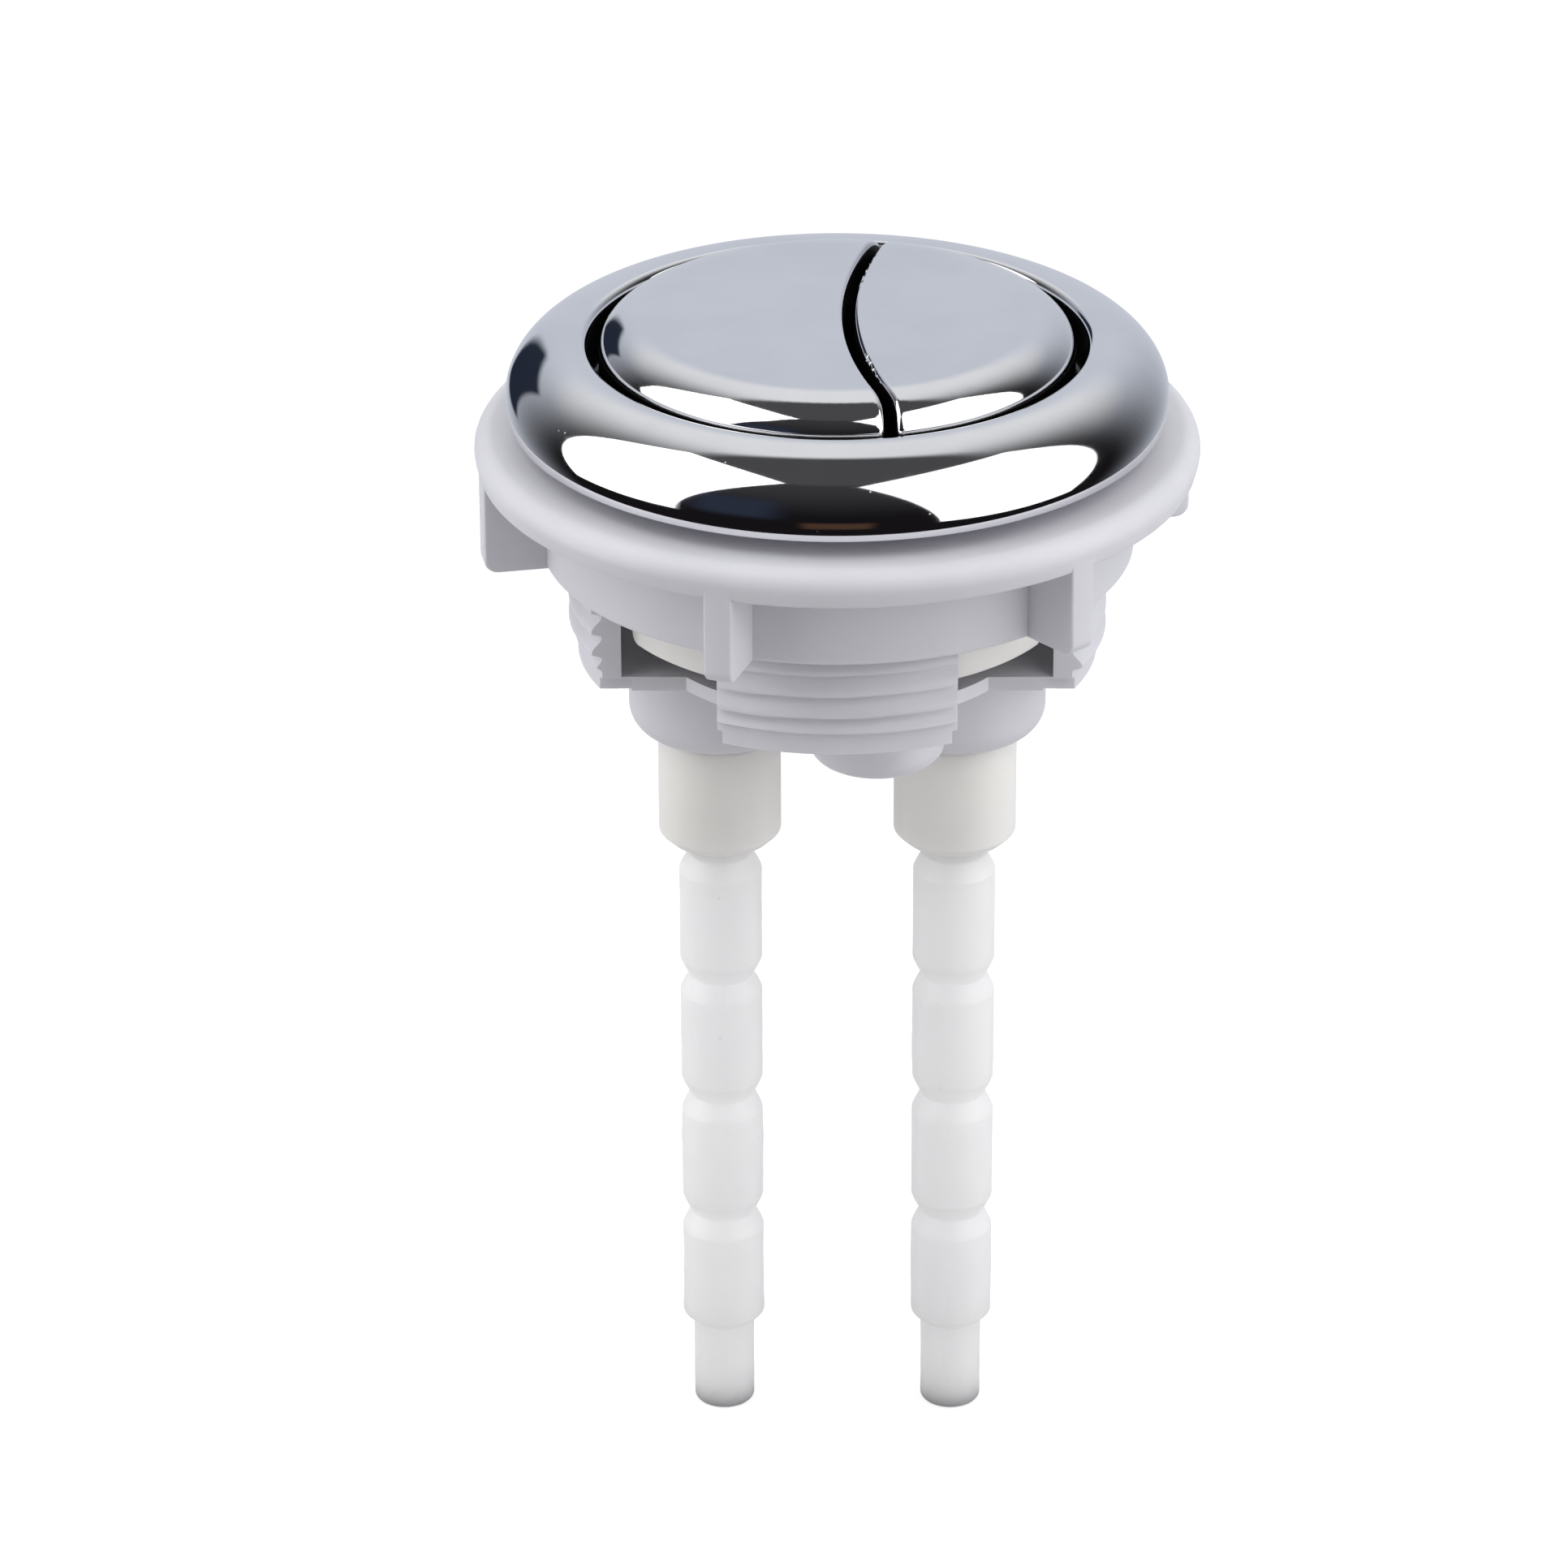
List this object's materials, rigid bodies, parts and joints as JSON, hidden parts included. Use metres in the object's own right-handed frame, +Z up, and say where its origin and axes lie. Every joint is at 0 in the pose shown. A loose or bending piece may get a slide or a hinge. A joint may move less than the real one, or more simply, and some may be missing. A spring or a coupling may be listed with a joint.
{
  "type": "push button cistern actuator",
  "caption": "Round push button actuator for a cistern lid: S-split domed caps in a bezel ring, threaded barrel with a ribbed lock nut, sprung plungers and notched push rods.",
  "frame": {"origin": "on the barrel's axis, in the plane where the bezel seats on the cistern lid", "axes": "+Z up out of the lid along the barrel, +X towards the half flush side, -Y towards the front"},
  "size_m": [0.0768, 0.0768, 0.1322],
  "materials": {
    "chrome_plate": "polished",
    "white_abs": "satin",
    "cream_abs": "satin",
    "rod_nylon": "satin",
    "steel": "satin"
  },
  "bodies": {
    "housing": {"bezel_ring": "chrome_plate", "barrel_body": "white_abs", "guide_insert": "cream_abs", "full_flush_spring": "steel", "half_flush_spring": "steel"},
    "nut": {"lock_nut": "white_abs"},
    "full_flush": {"full_flush_button": "chrome_plate", "full_flush_plunger": "cream_abs", "full_flush_cap_screws": "steel", "full_flush_socket": "cream_abs", "full_flush_socket_screw": "steel", "full_flush_rod": "rod_nylon"},
    "half_flush": {"half_flush_button": "chrome_plate", "half_flush_plunger": "cream_abs", "half_flush_cap_screws": "steel", "half_flush_socket": "cream_abs", "half_flush_socket_screw": "steel", "half_flush_rod": "rod_nylon"}
  },
  "joints": [
    {"name": "full_flush_press", "type": "slide", "parent": "housing", "child": "full_flush", "axis": [0, 0, 1], "range_m": [-0.009, 0], "stiffness_N_per_m": 400, "springref_m": 0.008, "deforming": ["full_flush_spring"]},
    {"name": "half_flush_press", "type": "slide", "parent": "housing", "child": "half_flush", "axis": [0, 0, 1], "range_m": [-0.009, 0], "stiffness_N_per_m": 400, "springref_m": 0.008, "deforming": ["half_flush_spring"]},
    {"name": "lock_nut_travel", "type": "slide", "parent": "housing", "child": "nut", "axis": [0, 0, 1], "range_m": [-0.0115, 0.0017]}
  ]
}
